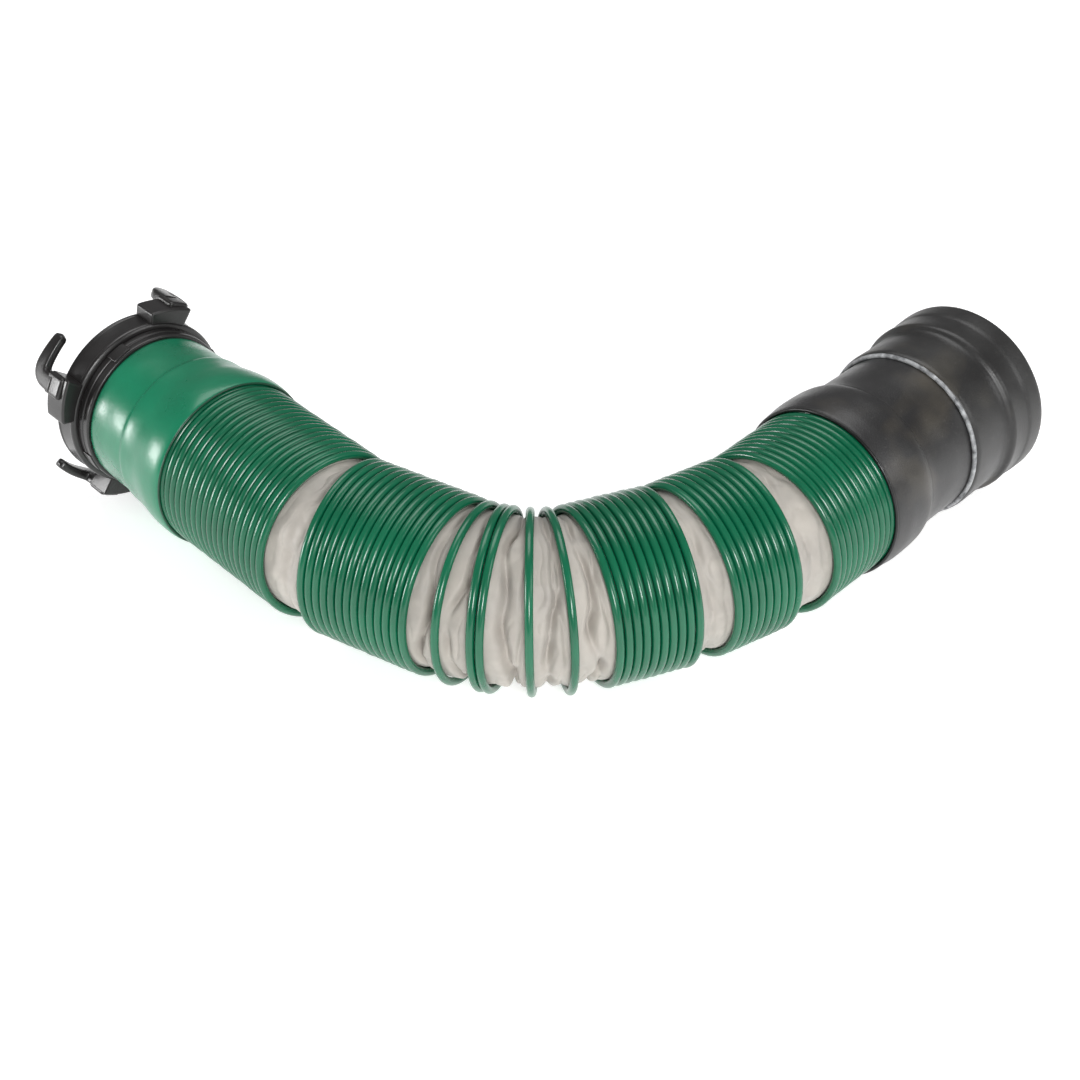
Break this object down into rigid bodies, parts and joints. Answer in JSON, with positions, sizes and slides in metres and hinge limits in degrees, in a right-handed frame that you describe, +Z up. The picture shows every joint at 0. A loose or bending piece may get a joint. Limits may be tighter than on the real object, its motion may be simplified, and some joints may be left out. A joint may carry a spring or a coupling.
{
  "type": "sewer hose kit",
  "caption": "Short flexible sewer hose of coated spring wire over a liner, with a bayonet lug fitting at one end and a slip-on rubber coupler at the other.",
  "frame": {"origin": "centre of the inlet end face, on the hose axis, at the front of the fitting body's lip", "axes": "+X from the inlet end to the coupler end, +Y towards the inside of the hose's curve, +Z up, floor below"},
  "size_m": [0.5372, 0.269, 0.1147],
  "materials": {
    "pvc_coating": "glossy",
    "liner_vinyl": "matt coated",
    "green_rubber": "satin",
    "black_rubber": "matt",
    "black_plastic": "satin moulded",
    "seal_rubber": "matt",
    "grey_plastic": "moulded"
  },
  "bodies": {
    "inlet_end": {"fitting_body": "black_plastic", "face_gasket": "seal_rubber", "green_cuff": "green_rubber", "wire_a": "pvc_coating", "liner_a": "liner_vinyl", "liner_fold_a_b1": "liner_vinyl"},
    "lug_ring": {"lug_ring": "black_plastic"},
    "hose_b1": {"wire_b1": "pvc_coating", "liner_b1": "liner_vinyl", "liner_fold_b1_b2": "liner_vinyl"},
    "hose_b2": {"wire_b2": "pvc_coating", "liner_b2": "liner_vinyl", "liner_fold_b2_loop1": "liner_vinyl"},
    "hose_loop1": {"wire_loop1": "pvc_coating", "liner_fold_loop1_loop2": "liner_vinyl"},
    "hose_loop2": {"wire_loop2": "pvc_coating", "liner_fold_loop2_loop3": "liner_vinyl"},
    "hose_loop3": {"wire_loop3": "pvc_coating", "liner_fold_loop3_loop4": "liner_vinyl"},
    "hose_loop4": {"wire_loop4": "pvc_coating", "liner_fold_loop4_loop5": "liner_vinyl"},
    "hose_loop5": {"wire_loop5": "pvc_coating", "liner_fold_loop5_c": "liner_vinyl"},
    "hose_c": {"wire_c": "pvc_coating", "liner_c": "liner_vinyl", "liner_fold_c_d1": "liner_vinyl"},
    "hose_d1": {"wire_d1": "pvc_coating", "liner_d1": "liner_vinyl", "liner_fold_d1_d2": "liner_vinyl"},
    "hose_d2": {"wire_d2": "pvc_coating", "liner_d2": "liner_vinyl", "liner_fold_d2_e": "liner_vinyl"},
    "hose_e": {"wire_e": "pvc_coating", "liner_e": "liner_vinyl", "inner_sleeve": "grey_plastic", "black_cuff": "black_rubber", "coupler": "black_rubber"}
  },
  "joints": [
    {"name": "lug_ring_turn", "type": "hinge", "parent": "inlet_end", "child": "lug_ring", "pos_m": [0, 0, 0], "axis": [0.6883, -0.7239, -0.047], "continuous": true},
    {"name": "bend_b1", "type": "hinge", "parent": "inlet_end", "child": "hose_b1", "pos_m": [0.15354, -0.09864, -0.0072], "axis": [0.0134, -0.0522, 0.9985], "range_deg": [-15, 7], "deforming": ["liner_fold_a_b1"]},
    {"name": "stretch_b2", "type": "slide", "parent": "hose_b1", "child": "hose_b2", "axis": [0.8571, -0.5137, -0.0383], "range_m": [0, 0.015], "deforming": ["liner_fold_b1_b2"]},
    {"name": "bend_loop1", "type": "hinge", "parent": "hose_b2", "child": "hose_loop1", "pos_m": [0.20694, -0.13064, -0.00959], "axis": [0.0134, -0.0522, 0.9985], "range_deg": [-8, 7], "deforming": ["liner_fold_b2_loop1"]},
    {"name": "bend_loop2", "type": "hinge", "parent": "hose_loop1", "child": "hose_loop2", "pos_m": [0.21105, -0.13234, -0.00973], "axis": [0.0134, -0.0522, 0.9985], "range_deg": [-8, 7], "deforming": ["liner_fold_loop1_loop2"]},
    {"name": "stretch_loop3", "type": "slide", "parent": "hose_loop2", "child": "hose_loop3", "axis": [0.9702, -0.2409, -0.0256], "range_m": [0, 0.015], "deforming": ["liner_fold_loop2_loop3"]},
    {"name": "bend_loop4", "type": "hinge", "parent": "hose_loop3", "child": "hose_loop4", "pos_m": [0.21969, -0.13448, -0.00996], "axis": [0.0134, -0.0522, 0.9985], "range_deg": [-12, 7], "deforming": ["liner_fold_loop3_loop4"]},
    {"name": "bend_loop5", "type": "hinge", "parent": "hose_loop4", "child": "hose_loop5", "pos_m": [0.22414, -0.1346, -0.01003], "axis": [0.0134, -0.0522, 0.9985], "range_deg": [-10.5, 7], "deforming": ["liner_fold_loop4_loop5"]},
    {"name": "bend_c", "type": "hinge", "parent": "hose_loop5", "child": "hose_c", "pos_m": [0.22852, -0.13386, -0.01005], "axis": [0.0134, -0.0522, 0.9985], "range_deg": [-11, 7], "deforming": ["liner_fold_loop5_c"]},
    {"name": "bend_d1", "type": "hinge", "parent": "hose_c", "child": "hose_d1", "pos_m": [0.27006, -0.11791, -0.00977], "axis": [0.0134, -0.0522, 0.9985], "range_deg": [-10.5, 7], "deforming": ["liner_fold_c_d1"]},
    {"name": "stretch_d2", "type": "slide", "parent": "hose_d1", "child": "hose_d2", "axis": [0.848, 0.5298, 0.0163], "range_m": [0, 0.015], "deforming": ["liner_fold_d1_d2"]},
    {"name": "bend_e", "type": "hinge", "parent": "hose_d2", "child": "hose_e", "pos_m": [0.30403, -0.09669, -0.00912], "axis": [0.0134, -0.0522, 0.9985], "range_deg": [-14, 7], "deforming": ["liner_fold_d2_e"]}
  ],
  "couplings": [
    {"joint": "stretch_b2", "follows": "stretch_loop3", "ratio": 1},
    {"joint": "stretch_d2", "follows": "stretch_loop3", "ratio": 1}
  ]
}
